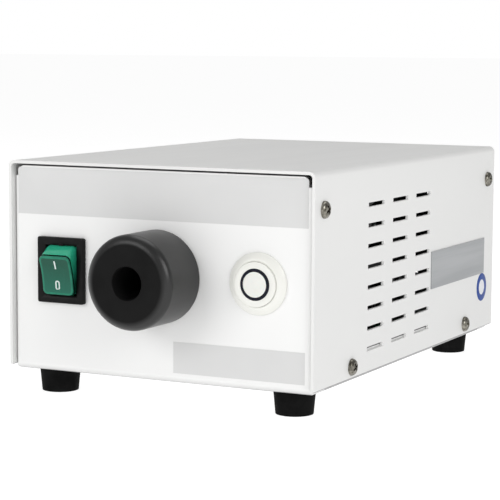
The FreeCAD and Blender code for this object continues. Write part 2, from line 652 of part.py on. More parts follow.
parts["control_board_posts"] = make_posts(CONTROL_BOARD)
parts["control_board_parts"] = make_control_parts()

os.makedirs("parts", exist_ok=True)
for node, shape in parts.items():
    shape.exportStep("parts/" + node + ".step")
    print(node, "valid" if shape.isValid() else "INVALID", len(shape.Solids), round(shape.Volume, 1))
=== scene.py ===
"""Fiber optic illuminator: a white sheet-metal bench light source on four rubber feet.

Metres, +Z up, front panel towards -Y.
"""
import math

import bmesh
import bpy
from mathutils import Matrix, Vector


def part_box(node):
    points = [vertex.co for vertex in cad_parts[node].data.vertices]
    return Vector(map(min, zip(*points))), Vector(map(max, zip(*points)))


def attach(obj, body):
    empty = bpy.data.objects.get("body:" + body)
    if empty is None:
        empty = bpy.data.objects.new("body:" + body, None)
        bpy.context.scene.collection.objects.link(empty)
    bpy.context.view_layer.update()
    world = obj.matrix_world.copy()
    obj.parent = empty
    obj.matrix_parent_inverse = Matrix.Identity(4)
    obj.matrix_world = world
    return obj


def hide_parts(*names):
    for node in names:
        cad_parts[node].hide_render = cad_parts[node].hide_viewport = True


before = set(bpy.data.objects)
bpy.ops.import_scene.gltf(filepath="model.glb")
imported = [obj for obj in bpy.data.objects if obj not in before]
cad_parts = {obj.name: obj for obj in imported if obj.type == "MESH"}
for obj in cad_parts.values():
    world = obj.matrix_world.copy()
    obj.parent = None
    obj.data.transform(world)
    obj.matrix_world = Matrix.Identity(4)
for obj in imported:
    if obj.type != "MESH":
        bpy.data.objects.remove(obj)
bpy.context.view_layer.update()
MM = 0.001


# ---- Camera, floor and light ---------------------------------------------------------
# The camera stands to the right of the front, a little above it, with a long lens.
# The floor is a plain pale sheet; soft boxes light the front from the left.
IMAGE = 500.0                       # frame width in pixels
FOCAL = 1850.9                      # focal length in those pixels
CENTRE_X, CENTRE_Y = 249.9, 251.6   # where the lens axis meets the frame
AZIMUTH, ELEVATION, ROLL = math.radians(26.60), math.radians(6.44), math.radians(0.33)
cover_low, cover_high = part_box("cover")
base = cover_low.z
EYE = Vector((0.4153, cover_low.y - 0.7329, base + 0.15385))
SENSOR = 36.0                       # width of the camera's sensor, in its own millimetres

camera = bpy.data.objects.new("camera", bpy.data.cameras.new("camera"))
bpy.context.scene.collection.objects.link(camera)
backward = Vector((math.sin(AZIMUTH) * math.cos(ELEVATION), -math.cos(AZIMUTH) * math.cos(ELEVATION),
                   math.sin(ELEVATION)))
level = Vector((math.cos(AZIMUTH), math.sin(AZIMUTH), 0.0))
upright = backward.cross(level)
right = level * math.cos(ROLL) + upright * math.sin(ROLL)
upward = upright * math.cos(ROLL) - level * math.sin(ROLL)
camera.matrix_world = Matrix.Translation(EYE) @ Matrix((right, upward, backward)).transposed().to_4x4()
camera.data.sensor_width = SENSOR
camera.data.lens = SENSOR * FOCAL / IMAGE
camera.data.shift_x = (IMAGE / 2 - CENTRE_X) / IMAGE
camera.data.shift_y = (CENTRE_Y - IMAGE / 2) / IMAGE
camera.data.clip_start = 0.01
bpy.context.scene.camera = camera


def shader(name, colour, roughness, metallic=0.0, specular=0.5):
    """A material with its shader's plain values set; returns material, nodes, links, shader."""
    material = bpy.data.materials.new(name)
    material.use_nodes = True
    nodes, links = material.node_tree.nodes, material.node_tree.links
    principled = nodes["Principled BSDF"]
    principled.inputs["Base Color"].default_value = (*colour, 1.0)
    principled.inputs["Roughness"].default_value = roughness
    principled.inputs["Metallic"].default_value = metallic
    principled.inputs["Specular IOR Level"].default_value = specular
    return material, nodes, links, principled


def new_piece(name, bm, materials, body="housing", sharp=35.0):
    """Turns a bmesh into a named, smooth-shaded object with crisp edges that rides on a body."""
    for edge in bm.edges:
        edge.smooth = len(edge.link_faces) == 2 and edge.calc_face_angle(0.0) < math.radians(sharp)
    for face in bm.faces:
        face.smooth = True
    mesh = bpy.data.meshes.new(name)
    bm.to_mesh(mesh)
    bm.free()
    for material in materials:
        mesh.materials.append(material)
    piece = bpy.data.objects.new(name, mesh)
    bpy.context.scene.collection.objects.link(piece)
    if body:
        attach(piece, body)
    return piece


floor_finish, _, _, floor_shader = shader("pale_floor", (0.36, 0.36, 0.36), 0.9, specular=0.0)
floor_shader.inputs["Emission Color"].default_value = (1.0, 1.0, 1.0, 1.0)
floor_shader.inputs["Emission Strength"].default_value = 0.83
bm = bmesh.new()
bmesh.ops.create_grid(bm, x_segments=1, y_segments=1, size=20.0)
new_piece("floor", bm, [floor_finish], body=None)


def soft_box(name, at, aim, wide, tall, power):
    """A rectangular area light that points at a spot."""
    lamp = bpy.data.lights.new(name, "AREA")
    lamp.shape = "RECTANGLE"
    lamp.size, lamp.size_y = wide, tall
    lamp.energy = power
    light = bpy.data.objects.new(name, lamp)
    light.location = at
    light.rotation_euler = (Vector(aim) - Vector(at)).to_track_quat("-Z", "Y").to_euler()
    bpy.context.scene.collection.objects.link(light)


soft_box("front_left_box", (-0.75, -1.75, 0.85), (0.0, -0.1, 0.06), 1.2, 0.8, 11.5)
soft_box("right_box", (0.75, -0.50, 0.45), (0.08, -0.1, 0.06), 0.45, 0.45, 2.45)
soft_box("overhead_box", (-0.1, 0.3, 1.6), (0.0, 0.0, 0.1), 1.2, 1.2, 7.5)
world = bpy.data.worlds.new("studio")
bpy.context.scene.world = world
world.use_nodes = True
sky, sky_links = world.node_tree.nodes, world.node_tree.links
sky_place = sky.new("ShaderNodeTexCoord")
sky_parts = sky.new("ShaderNodeSeparateXYZ")
sky_ramp = sky.new("ShaderNodeValToRGB")
sky_ramp.color_ramp.elements[0].position, sky_ramp.color_ramp.elements[1].position = 0.08, 0.24
sky_ramp.color_ramp.elements[0].color = (1.0, 1.0, 1.0, 1.0)
sky_ramp.color_ramp.elements[1].color = (0.38, 0.38, 0.38, 1.0)
sky_links.new(sky_place.outputs["Generated"], sky_parts.inputs["Vector"])
sky_links.new(sky_parts.outputs["Z"], sky_ramp.inputs["Fac"])
sky_links.new(sky_ramp.outputs["Color"], sky["Background"].inputs["Color"])
sky["Background"].inputs["Strength"].default_value = 1.0
bpy.context.scene.view_settings.view_transform = "Standard"


# ---- Chassis -------------------------------------------------------------------------
# The folded lower half: recessed front panel, floor and rear panel, with flanges up
# the sides. White powder coat, a touch smoother than the cover's. The bends underneath
# are painted grey, then dark, as painted shade, and the floor flanges' top edges carry
# a near-black painted shadow line.
def object_noise(nodes, links, scale, detail, stretch):
    """Noise in object coordinates, finer along the axes that are stretched."""
    place = nodes.new("ShaderNodeTexCoord")
    mapping = nodes.new("ShaderNodeMapping")
    mapping.inputs["Scale"].default_value = stretch
    noise = nodes.new("ShaderNodeTexNoise")
    noise.inputs["Scale"].default_value = scale
    noise.inputs["Detail"].default_value = detail
    links.new(place.outputs["Object"], mapping.inputs["Vector"])
    links.new(mapping.outputs["Vector"], noise.inputs["Vector"])
    return noise


def add_grain(made, scale, strength, distance=0.00005, stretch=(1.0, 1.0, 1.0)):
    """Fine surface relief from noise."""
    _, nodes, links, principled = made
    noise = object_noise(nodes, links, scale, 3.0, stretch)
    bump = nodes.new("ShaderNodeBump")
    bump.inputs["Strength"].default_value = strength
    bump.inputs["Distance"].default_value = distance
    links.new(noise.outputs["Fac"], bump.inputs["Height"])
    links.new(bump.outputs["Normal"], principled.inputs["Normal"])


def add_mottle(made, light, dark, scale, stretch=(1.0, 1.0, 1.0)):
    """Slow change of colour between a light and a dark shade."""
    _, nodes, links, principled = made
    noise = object_noise(nodes, links, scale, 4.0, stretch)
    ramp = nodes.new("ShaderNodeValToRGB")
    ramp.color_ramp.elements[0].position, ramp.color_ramp.elements[1].position = 0.35, 0.65
    ramp.color_ramp.elements[0].color = (*dark, 1.0)
    ramp.color_ramp.elements[1].color = (*light, 1.0)
    links.new(noise.outputs["Fac"], ramp.inputs["Fac"])
    links.new(ramp.outputs["Color"], principled.inputs["Base Color"])


def blend_along(made, axis, plain_at, changed_at, colour):
    """Changes a material's colour to another one along an axis, between two places."""
    _, nodes, links, principled = made
    place = nodes.new("ShaderNodeTexCoord")
    parts = nodes.new("ShaderNodeSeparateXYZ")
    reach = nodes.new("ShaderNodeMapRange")
    reach.inputs["From Min"].default_value = plain_at
    reach.inputs["From Max"].default_value = changed_at
    blend = nodes.new("ShaderNodeMix")
    blend.data_type = "RGBA"
    blend.inputs[7].default_value = (*colour, 1.0)
    plain = principled.inputs["Base Color"].links[0].from_socket
    links.new(place.outputs["Object"], parts.inputs["Vector"])
    links.new(parts.outputs[axis], reach.inputs["Value"])
    links.new(reach.outputs["Result"], blend.inputs[0])
    links.new(plain, blend.inputs[6])
    links.new(blend.outputs[2], principled.inputs["Base Color"])


def dress(made, *names):
    """Gives CAD nodes a finish; each keeps its own mesh."""
    for name in names:
        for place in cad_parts[name].material_slots:
            place.material = made[0]


# Besides the plain coat: two greys of painted shade for the lower bends, and near-black for a painted
# shadow line along the floor flanges' top edges.
COAT, BEND_SHADE, LOW_BEND_SHADE = (0.81, 0.81, 0.805), (0.64, 0.64, 0.635), (0.30, 0.30, 0.30)
FLANGE_TOP_SHADE = (0.02, 0.02, 0.02)
chassis_low, chassis_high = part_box("chassis")
underside, flange_top = chassis_low.z, chassis_high.z


def chassis_coat(name):
    """White powder coat as it is on the flat parts of the chassis."""
    coat = shader(name, COAT, 0.38)
    add_grain(coat, 1600.0, 0.10)
    add_mottle(coat, (0.820, 0.820, 0.813), (0.802, 0.802, 0.797), 14.0)
    return coat


panel_coat_and_shade = chassis_coat("chassis_coat_with_painted_shade")
# Painted shade: the panels' lower bends turn grey, then dark just above the underside; the underside
# itself keeps the plain coat.
blend_along(panel_coat_and_shade, "Z", base + 0.8 * MM, underside + 0.6 * MM, BEND_SHADE)
blend_along(panel_coat_and_shade, "Z", underside + 0.65 * MM, underside + 0.40 * MM, LOW_BEND_SHADE)
blend_along(panel_coat_and_shade, "Z", underside + 0.03 * MM, underside + 0.01 * MM, COAT)
dress(panel_coat_and_shade, "front_panel", "rear_panel")

floor_coat_and_shade = chassis_coat("floor_coat_with_painted_shade")
# Painted shadow: a near-black line along the floor flanges' top edges, seen through the lowest slots.
blend_along(floor_coat_and_shade, "Z", flange_top - 0.70 * MM, flange_top - 0.60 * MM, FLANGE_TOP_SHADE)
# Painted shade on the floor's bends below the cover's edge; the underside itself keeps the plain coat.
blend_along(floor_coat_and_shade, "Z", base - 0.3 * MM, base - 0.6 * MM, LOW_BEND_SHADE)
blend_along(floor_coat_and_shade, "Z", underside + 0.03 * MM, underside + 0.01 * MM, COAT)
dress(floor_coat_and_shade, "chassis")


# ---- Printed band and panel mark -----------------------------------------------------
# Two areas of pale grey screen print on the front panel: a band under the cover's
# edge and a bare rectangle at the lower right. Each is one thin layer of ink.
INK = 0.06 * MM
BAND_LEFT, BAND_RIGHT, BAND_LOW = -76.2 * MM, 75.9 * MM, 72.7 * MM
BAND_ROUND, BAND_TOP_CORNERS = 1.3 * MM, 85.0 * MM   # heights run from the cover's lower edge
MARK_LEFT, MARK_RIGHT, MARK_LOW, MARK_HIGH = 8.0 * MM, 74.6 * MM, 2.7 * MM, 17.3 * MM
MARK_ROUND = 0.12 * MM
panel_low, panel_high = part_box("front_panel")
panel_y = panel_low.y

ink = shader("grey_screen_print", (0.63, 0.63, 0.625), 0.5)
add_grain(ink, 1600.0, 0.08)
add_mottle(ink, (0.640, 0.640, 0.636), (0.618, 0.619, 0.616), 30.0)


def add_box(bm, size, middle):
    """Adds a box of the given size about its middle."""
    corners = bmesh.ops.create_cube(bm, size=1.0)["verts"]
    bmesh.ops.scale(bm, vec=size, verts=corners)
    bmesh.ops.translate(bm, vec=middle, verts=corners)


def edges_along(bm, axis, least):
    """Edges that reach further than a length along one axis (0, 1 or 2)."""
    return [e for e in bm.edges if abs(e.verts[0].co[axis] - e.verts[1].co[axis]) > least]


def round_off(bm, geom, radius, segments, affect="EDGES"):
    """Rounds edges, or the corners of a flat shape."""
    bmesh.ops.bevel(bm, geom=geom, offset=radius, offset_type="OFFSET", affect=affect,
                    segments=segments, profile=0.5, material=-1)


def printed(name, x0, x1, z0, z1, radius, above):
    """A thin plate of ink on the front panel; corners above a height are rounded."""
    bm = bmesh.new()
    add_box(bm, (x1 - x0, INK, z1 - z0), ((x0 + x1) / 2, panel_y - INK / 2, (z0 + z1) / 2))
    round_off(bm, [e for e in edges_along(bm, 1, INK / 2) if e.verts[0].co.z > above], radius, 5)
    new_piece(name, bm, [ink[0]], sharp=20.0)


printed("front_band_print", BAND_LEFT, BAND_RIGHT, base + BAND_LOW, panel_high.z - 0.7 * MM,
        BAND_ROUND, base + BAND_TOP_CORNERS)
printed("front_mark_print", MARK_LEFT, MARK_RIGHT, base + MARK_LOW, base + MARK_HIGH, MARK_ROUND, base)


# ---- Feet ----------------------------------------------------------------------------
# Four moulded black rubber feet, slightly tapered, each held by a screw that sits in
# a recess in its underside.
FOOT_TALL = 11.5 * MM
FOOT_TOP, FOOT_BASE = 9.9 * MM, 8.8 * MM        # radii
RECESS_R, RECESS_DEEP = 3.6 * MM, 4.5 * MM
FOOT_PLACES = [(x * MM, cover_low.y + y * MM) for x in (-62.7, 62.7) for y in (17.5, 215.5)]


def turned(bm, profile, centre, axis, steps):
    """Spins (radius, along) points about an axis through a centre, and closes the poles."""
    axis = Vector(axis)
    side = Vector((1, 0, 0)) if abs(axis.x) < 0.5 else Vector((0, 1, 0))
    before = len(bm.verts)
    points = [bm.verts.new(Vector(centre) + side * r + axis * along) for r, along in profile]
    lines = [bm.edges.new(pair) for pair in zip(points, points[1:])]
    bmesh.ops.spin(bm, geom=points + lines, cent=centre, axis=axis, angle=2 * math.pi, steps=steps,
                   use_merge=True)
    bm.verts.ensure_lookup_table()
    bmesh.ops.remove_doubles(bm, verts=bm.verts[before:], dist=1e-7)
    bmesh.ops.dissolve_degenerate(bm, dist=1e-7, edges=bm.edges)
    bmesh.ops.recalc_face_normals(bm, faces=bm.faces)


rubber = shader("foot_rubber", (0.005, 0.005, 0.005), 0.58, specular=0.02)
add_grain(rubber, 1800.0, 0.35, distance=0.00008)
add_mottle(rubber, (0.008, 0.008, 0.008), (0.0045, 0.0045, 0.0045), 120.0)

bm = bmesh.new()
for x, y in FOOT_PLACES:
    turned(bm, [(0, RECESS_DEEP), (RECESS_R, RECESS_DEEP), (RECESS_R, 0.5 * MM),
                (RECESS_R + 0.5 * MM, 0.0), (FOOT_BASE - 0.30 * MM, 0.0),
                (FOOT_BASE - 0.06 * MM, 0.08 * MM), (FOOT_BASE, 0.3 * MM),
                (FOOT_TOP - 0.15 * MM, FOOT_TALL - 1.2 * MM), (FOOT_TOP, FOOT_TALL - 0.5 * MM),
                (FOOT_TOP - 0.25 * MM, FOOT_TALL), (0, FOOT_TALL)],
           (x, y, 0), (0, 0, 1), steps=72)
feet = new_piece("rubber_feet", bm, [rubber[0]])
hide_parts("feet")


# ---- Circuit boards ------------------------------------------------------------------
# Power supply at the left and lamp driver at the right, each on four brass posts:
# green glass-epoxy boards with a ferrite transformer, capacitors and terminals.
board_green = shader("board_green", (0.015, 0.11, 0.045), 0.30)
add_mottle(board_green, (0.020, 0.135, 0.055), (0.010, 0.085, 0.035), 220.0, stretch=(1.0, 3.0, 1.0))
add_grain(board_green, 900.0, 0.15)
dress(board_green, "power_supply_board", "control_board")

brass = shader("brass", (0.72, 0.52, 0.22), 0.28, metallic=1.0)
add_mottle(brass, (0.76, 0.56, 0.26), (0.62, 0.44, 0.18), 150.0)
add_grain(brass, 2200.0, 0.08)
dress(brass, "power_board_posts", "control_board_posts", "rocker_switch_terminals", "inlet_pins")

winding_tape = shader("winding_tape", (0.60, 0.46, 0.06), 0.35)
add_mottle(winding_tape, (0.66, 0.52, 0.09), (0.48, 0.36, 0.05), 90.0, stretch=(1.0, 1.0, 6.0))
add_grain(winding_tape, 260.0, 0.2, stretch=(1.0, 1.0, 12.0))
dress(winding_tape, "transformer")

can_sleeve = shader("capacitor_sleeve", (0.012, 0.014, 0.026), 0.25)
add_mottle(can_sleeve, (0.018, 0.020, 0.036), (0.008, 0.010, 0.018), 80.0)
add_grain(can_sleeve, 700.0, 0.1)
dress(can_sleeve, "capacitors")

terminal_moulding = shader("terminal_moulding", (0.03, 0.26, 0.09), 0.45)
add_mottle(terminal_moulding, (0.036, 0.29, 0.105), (0.024, 0.22, 0.075), 160.0)
add_grain(terminal_moulding, 1500.0, 0.15)
dress(terminal_moulding, "terminal_blocks")

component_moulding = shader("component_moulding", (0.022, 0.022, 0.022), 0.55)
add_mottle(component_moulding, (0.030, 0.030, 0.030), (0.016, 0.016, 0.016), 240.0)
add_grain(component_moulding, 1900.0, 0.25)
dress(component_moulding, "control_board_parts")


# ---- Lamp, heat sink and condenser ---------------------------------------------------
# A white LED on its metal-core board is clamped to an extruded aluminium heat sink on
# two zinc-plated brackets; a black holder carries the lens that fills the light guide.
extrusion = shader("heat_sink_aluminium", (0.74, 0.75, 0.76), 0.38, metallic=1.0)
add_mottle(extrusion, (0.78, 0.79, 0.80), (0.66, 0.67, 0.68), 60.0, stretch=(1.0, 1.0, 0.1))
add_grain(extrusion, 900.0, 0.22, stretch=(1.0, 1.0, 0.02))
dress(extrusion, "heatsink", "heat_spreader")

zinc_plate = shader("zinc_plate", (0.60, 0.62, 0.62), 0.34, metallic=1.0)
add_mottle(zinc_plate, (0.66, 0.68, 0.69), (0.50, 0.52, 0.50), 110.0)
add_grain(zinc_plate, 1500.0, 0.1)
dress(zinc_plate, "heatsink_bracket_left", "heatsink_bracket_right")

board_white = shader("led_board_white", (0.82, 0.82, 0.80), 0.35)
add_mottle(board_white, (0.84, 0.84, 0.82), (0.78, 0.78, 0.76), 180.0)
add_grain(board_white, 1400.0, 0.1)
dress(board_white, "led_board")

phosphor = shader("led_phosphor", (0.84, 0.66, 0.10), 0.30)
add_mottle(phosphor, (0.88, 0.72, 0.16), (0.78, 0.58, 0.07), 400.0)
add_grain(phosphor, 2500.0, 0.1)
dress(phosphor, "led_emitter")

black_anodised = shader("black_anodised", (0.014, 0.014, 0.015), 0.42, specular=0.4)
add_mottle(black_anodised, (0.018, 0.018, 0.019), (0.010, 0.010, 0.011), 90.0)
add_grain(black_anodised, 2000.0, 0.1)
dress(black_anodised, "lens_holder")

glass = shader("lens_glass", (0.93, 0.97, 0.96), 0.03)
glass[3].inputs["Transmission Weight"].default_value = 1.0
glass[3].inputs["IOR"].default_value = 1.52
add_grain(glass, 300.0, 0.01)
dress(glass, "condenser_lens", "fuse")


# ---- Fan -----------------------------------------------------------------------------
# A 60 mm axial fan in glass-filled black plastic, screwed to the rear panel behind
# its slotted grille by four pan-head screws.
fan_plastic = shader("fan_plastic", (0.016, 0.016, 0.017), 0.48)
add_mottle(fan_plastic, (0.021, 0.021, 0.022), (0.012, 0.012, 0.013), 130.0)
add_grain(fan_plastic, 1600.0, 0.2)
dress(fan_plastic, "fan_frame", "fan_rotor")

FAN_HEAD_R, FAN_HEAD_H, FAN_HOLE = 3.2 * MM, 1.9 * MM, 25.0 * MM   # hole: from the fan's axis
nickel = shader("nickel_plate", (0.24, 0.225, 0.195), 0.27, metallic=1.0)
add_mottle(nickel, (0.33, 0.315, 0.275), (0.07, 0.065, 0.05), 520.0)
add_grain(nickel, 1500.0, 0.12)


def slice_at(bm, at, normal):
    """Cuts every face along a plane and keeps both sides."""
    bmesh.ops.bisect_plane(bm, geom=bm.verts[:] + bm.edges[:] + bm.faces[:], plane_co=at,
                           plane_no=normal)


def pan_head(radius, tall):
    """A pan-head screw's head as a mesh, flat on z = 0, with a cross recess."""
    bm = bmesh.new()
    dome = [(0, 1), (0.35, 0.985), (0.62, 0.90), (0.82, 0.73), (0.94, 0.48), (0.99, 0.22),
            (1, 0), (0, 0)]
    turned(bm, [(r * radius, z * tall) for r, z in dome], (0, 0, 0), (0, 0, 1), steps=40)
    narrow, long = 0.13 * radius, 0.56 * radius
    for axis in (0, 1):
        for at in (-long, -narrow, narrow, long):
            place, normal = Vector(), Vector()
            place[axis], normal[axis] = at, 1.0
            slice_at(bm, place, normal)
    cross = []
    for face in bm.faces:
        x, y, z = face.calc_center_median()
        if z > 0.3 * tall and max(abs(x), abs(y)) < long and min(abs(x), abs(y)) < narrow:
            cross.append(face)
    sunk = bmesh.ops.extrude_face_region(bm, geom=cross)["geom"]
    bmesh.ops.delete(bm, geom=cross, context="FACES")
    low = [v for v in sunk if isinstance(v, bmesh.types.BMVert)]
    bmesh.ops.translate(bm, vec=(0, 0, -0.5 * tall), verts=low)
    bmesh.ops.scale(bm, vec=(0.72, 0.72, 1.0), verts=low)
    mesh = bpy.data.meshes.new("pan_head")
    bm.to_mesh(mesh)
    bm.free()
    return mesh


def screws(name, radius, tall, places, outward):
    """Copies of a pan head at several places, all facing one way, each turned a little."""
    head = pan_head(radius, tall)
    bm = bmesh.new()
    for i, at in enumerate(places):
        before = len(bm.verts)
        bm.from_mesh(head)
        bm.verts.ensure_lookup_table()
        face_out = Vector(outward).to_track_quat("Z", "Y").to_matrix().to_4x4()
        turn = Matrix.Rotation(math.radians(25 + 47 * i), 4, "Z")
        bmesh.ops.transform(bm, matrix=Matrix.Translation(at) @ face_out @ turn,
                            verts=bm.verts[before:])
    bpy.data.meshes.remove(head)
    return new_piece(name, bm, [nickel[0]])


fan_low, fan_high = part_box("fan_frame")
fan_middle = (fan_low + fan_high) / 2
back_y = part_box("rear_panel")[1].y
fan_holes = [(fan_middle.x + x, back_y, fan_middle.z + z)
             for x in (-FAN_HOLE, FAN_HOLE) for z in (-FAN_HOLE, FAN_HOLE)]
screws("fan_screws", FAN_HEAD_R, FAN_HEAD_H, fan_holes, (0, 1, 0))


# ---- Mains inlet ---------------------------------------------------------------------
# Three-pole inlet with a fuse drawer under the socket, snapped into the rear panel;
# black moulding, brass blades, a glass fuse in the drawer.
inlet_plastic = shader("inlet_plastic", (0.015, 0.015, 0.016), 0.40)
add_mottle(inlet_plastic, (0.019, 0.019, 0.020), (0.011, 0.011, 0.012), 140.0)
add_grain(inlet_plastic, 2100.0, 0.3)
dress(inlet_plastic, "inlet_body", "fuse_drawer")


# ---- Power rocker switch -------------------------------------------------------------
# Snap-in switch at the left of the front: a black moulded bezel and body, and a clear
# green rocker with a darker, lightly textured face plate and white I and 0.
SWITCH_BODY_W, SWITCH_BODY_H = 21.2 * MM, 27.6 * MM
MOUTH_H, WELL_W, WELL_H, WELL_DEEP = 23.7 * MM, 17.2 * MM, 25.3 * MM, 17.0 * MM
DIMPLE, LIP = 0.8 * MM, 0.5 * MM     # the mouth's depth, and its run before it widens
LUG_SIZE, LUG_AT = Vector((2.2, 1.0, 1.0)) * MM, Vector((0.3, 0.6, 12.25)) * MM
ROCKER_W, ROCKER_CHORD, ROCKER_RISE, ROCKER_DISH = 16.5 * MM, 9.35 * MM, 9.3 * MM, 1.0 * MM
ROCKER_REACH = 12.3 * MM             # radius of the rocker's end walls inside the well
ROCKER_TILT = math.radians(13.5)
PIVOT_DEEP = 5.0 * MM                # behind the bezel's front
KNEE, SWEEP = math.radians(79), math.radians(24)     # the end walls' arc: its start and length
switch_low, switch_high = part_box("rocker_switch_body")
switch_at = (switch_low + switch_high) / 2
switch_at.y = switch_low.y

switch_plastic = shader("switch_plastic", (0.006, 0.006, 0.006), 0.38, specular=0.12)
add_mottle(switch_plastic, (0.008, 0.008, 0.008), (0.004, 0.004, 0.004), 160.0)
add_grain(switch_plastic, 2600.0, 0.3)

bm = bmesh.new()
add_box(bm, (switch_high.x - switch_low.x, panel_y - switch_low.y, switch_high.z - switch_low.z),
        (switch_at.x, (switch_low.y + panel_y) / 2, switch_at.z))
round_off(bm, edges_along(bm, 1, MM), 0.9 * MM, 4)


def largest_facing(bm, y_sign):
    """The largest face that looks forwards (-1) or backwards (1)."""
    return max((f for f in bm.faces if f.normal.y * y_sign > 0.9), key=lambda f: f.calc_area())


def fit_face(bm, face, wide, tall, at):
    """Scales one face's corners to a rectangle's size about a centre."""
    xs, zs = [v.co.x for v in face.verts], [v.co.z for v in face.verts]
    grow = (wide / (max(xs) - min(xs)), 1.0, tall / (max(zs) - min(zs)))
    bmesh.ops.scale(bm, vec=grow, space=Matrix.Translation(-Vector((at.x, 0, at.z))), verts=face.verts)


def extend_face(bm, face, push):
    """Extrudes one face straight along Y and returns the face at its new end."""
    made = bmesh.ops.extrude_face_region(bm, geom=[face])["geom"]
    end = next(g for g in made if isinstance(g, bmesh.types.BMFace))
    bmesh.ops.delete(bm, geom=[f for f in [face] if f.is_valid and f != end], context="FACES_ONLY")
    bmesh.ops.translate(bm, vec=(0, push, 0), verts=end.verts)
    return end


back = largest_facing(bm, 1)
bmesh.ops.inset_region(bm, faces=[back], thickness=0.4 * MM, use_even_offset=True)
fit_face(bm, back, SWITCH_BODY_W, SWITCH_BODY_H, switch_at)
extend_face(bm, back, switch_high.y - panel_y)
front = largest_facing(bm, -1)
bmesh.ops.inset_region(bm, faces=[front], thickness=0.3 * MM, use_even_offset=True)
fit_face(bm, front, WELL_W + 3.0 * MM, MOUTH_H + 2.6 * MM, switch_at)
bmesh.ops.inset_region(bm, faces=[front], thickness=0.3 * MM, use_even_offset=True)
fit_face(bm, front, WELL_W, MOUTH_H, switch_at)
bmesh.ops.translate(bm, vec=(0, DIMPLE, 0), verts=front.verts)
front = extend_face(bm, front, LIP)
front = extend_face(bm, front, 0.0)
fit_face(bm, front, WELL_W, WELL_H, switch_at)
extend_face(bm, front, WELL_DEEP - DIMPLE - LIP)
add_box(bm, LUG_SIZE, switch_at + LUG_AT)
rim = [e for e in bm.edges if len(e.link_faces) == 2 and e.calc_face_angle(0.0) > math.radians(80)
       and abs((e.verts[0].co.y + e.verts[1].co.y) / 2 - switch_low.y) < 0.05 * MM]
round_off(bm, rim, 0.28 * MM, 3)
bmesh.ops.recalc_face_normals(bm, faces=bm.faces)
switch_body = new_piece("rocker_switch_moulding", bm, [switch_plastic[0]],
                        sharp=40.0)
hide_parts("rocker_switch_body")


def add_fade(made, lower, upper, low, high):
    """Colour that changes with height between two levels, its course wavered by noise."""
    _, nodes, links, principled = made
    place = nodes.new("ShaderNodeTexCoord")
    parts = nodes.new("ShaderNodeSeparateXYZ")
    noise = nodes.new("ShaderNodeTexNoise")
    noise.inputs["Scale"].default_value = 350.0
    waved = nodes.new("ShaderNodeMath")
    waved.operation = "MULTIPLY_ADD"
    waved.inputs[1].default_value = 3.0 * MM
    reach = nodes.new("ShaderNodeMapRange")
    reach.inputs["From Min"].default_value, reach.inputs["From Max"].default_value = low, high
    ramp = nodes.new("ShaderNodeValToRGB")
    ramp.color_ramp.elements[0].color, ramp.color_ramp.elements[1].color = (*lower, 1.0), (*upper, 1.0)
    links.new(place.outputs["Object"], parts.inputs["Vector"])
    links.new(place.outputs["Object"], noise.inputs["Vector"])
    links.new(noise.outputs["Fac"], waved.inputs[0])
    links.new(parts.outputs["Z"], waved.inputs[2])
    links.new(waved.outputs["Value"], reach.inputs["Value"])
    links.new(reach.outputs["Result"], ramp.inputs["Fac"])
    links.new(ramp.outputs["Color"], principled.inputs["Base Color"])


rocker_wall_and_shade = shader("rocker_clear_green_shaded", (0.020, 0.34, 0.19), 0.16, specular=0.4)
rocker_wall_and_shade[3].inputs["Subsurface Weight"].default_value = 0.25
rocker_wall_and_shade[3].inputs["Subsurface Radius"].default_value = (0.2, 1.0, 0.6)
rocker_wall_and_shade[3].inputs["Subsurface Scale"].default_value = 0.002
# Painted shade: the green walls darken towards the bottom, from near-black green at the lower level to
# bright green at the upper.
add_fade(rocker_wall_and_shade, (0.003, 0.050, 0.030), (0.024, 0.40, 0.235),
         switch_at.z - 5 * MM, switch_at.z + 7 * MM)
add_grain(rocker_wall_and_shade, 700.0, 0.05)
rocker_rim = shader("rocker_face_rim", (0.015, 0.180, 0.110), 0.22, specular=0.22)
add_mottle(rocker_rim, (0.018, 0.205, 0.125), (0.012, 0.150, 0.092), 300.0)
add_grain(rocker_rim, 900.0, 0.08)
rocker_face = shader("rocker_face_plate", (0.014, 0.105, 0.070), 0.34, specular=0.22)
add_fade(rocker_face, (0.015, 0.130, 0.086), (0.011, 0.078, 0.050),
         switch_at.z - 9 * MM, switch_at.z + 5 * MM)
add_grain(rocker_face, 2600.0, 0.25)
# The groove under the face plate's rim is real; its near-black colour is painted shade.
rocker_groove_shade = shader("rocker_groove_shade", (0.002, 0.012, 0.008), 0.5, specular=0.1)
add_mottle(rocker_groove_shade, (0.003, 0.015, 0.010), (0.002, 0.009, 0.006), 400.0)
add_grain(rocker_groove_shade, 1500.0, 0.1)

pivot = switch_at + Vector((0, PIVOT_DEEP, 0))
tilt_to_off = Matrix.Translation(pivot) @ Matrix.Rotation(ROCKER_TILT, 4, "X")
PLATE_BACK, GROOVE_BACK, KNEE_DEPTH = 0.05, 0.11, 0.5   # shares of the depth where they end
knee_y, knee_z = -ROCKER_REACH * math.cos(KNEE), ROCKER_REACH * math.sin(KNEE)
bow = (ROCKER_CHORD ** 2 + ROCKER_DISH ** 2) / (2 * ROCKER_DISH)


def face_height(z):
    """Local Y of the rocker's dished face at a height."""
    return ROCKER_DISH - ROCKER_RISE - bow + math.sqrt(max(bow * bow - z * z, 0.0))


def end_wall(depth):
    """Local (Y, Z) of the rocker's end wall, from its face (0) by the knee to its back (1)."""
    if depth <= KNEE_DEPTH:
        share = depth / KNEE_DEPTH
        return (-ROCKER_RISE + (knee_y + ROCKER_RISE) * share,
                ROCKER_CHORD + (knee_z - ROCKER_CHORD) * share)
    angle = KNEE + SWEEP * (depth - KNEE_DEPTH) / (1 - KNEE_DEPTH)
    return -ROCKER_REACH * math.cos(angle), ROCKER_REACH * math.sin(angle)


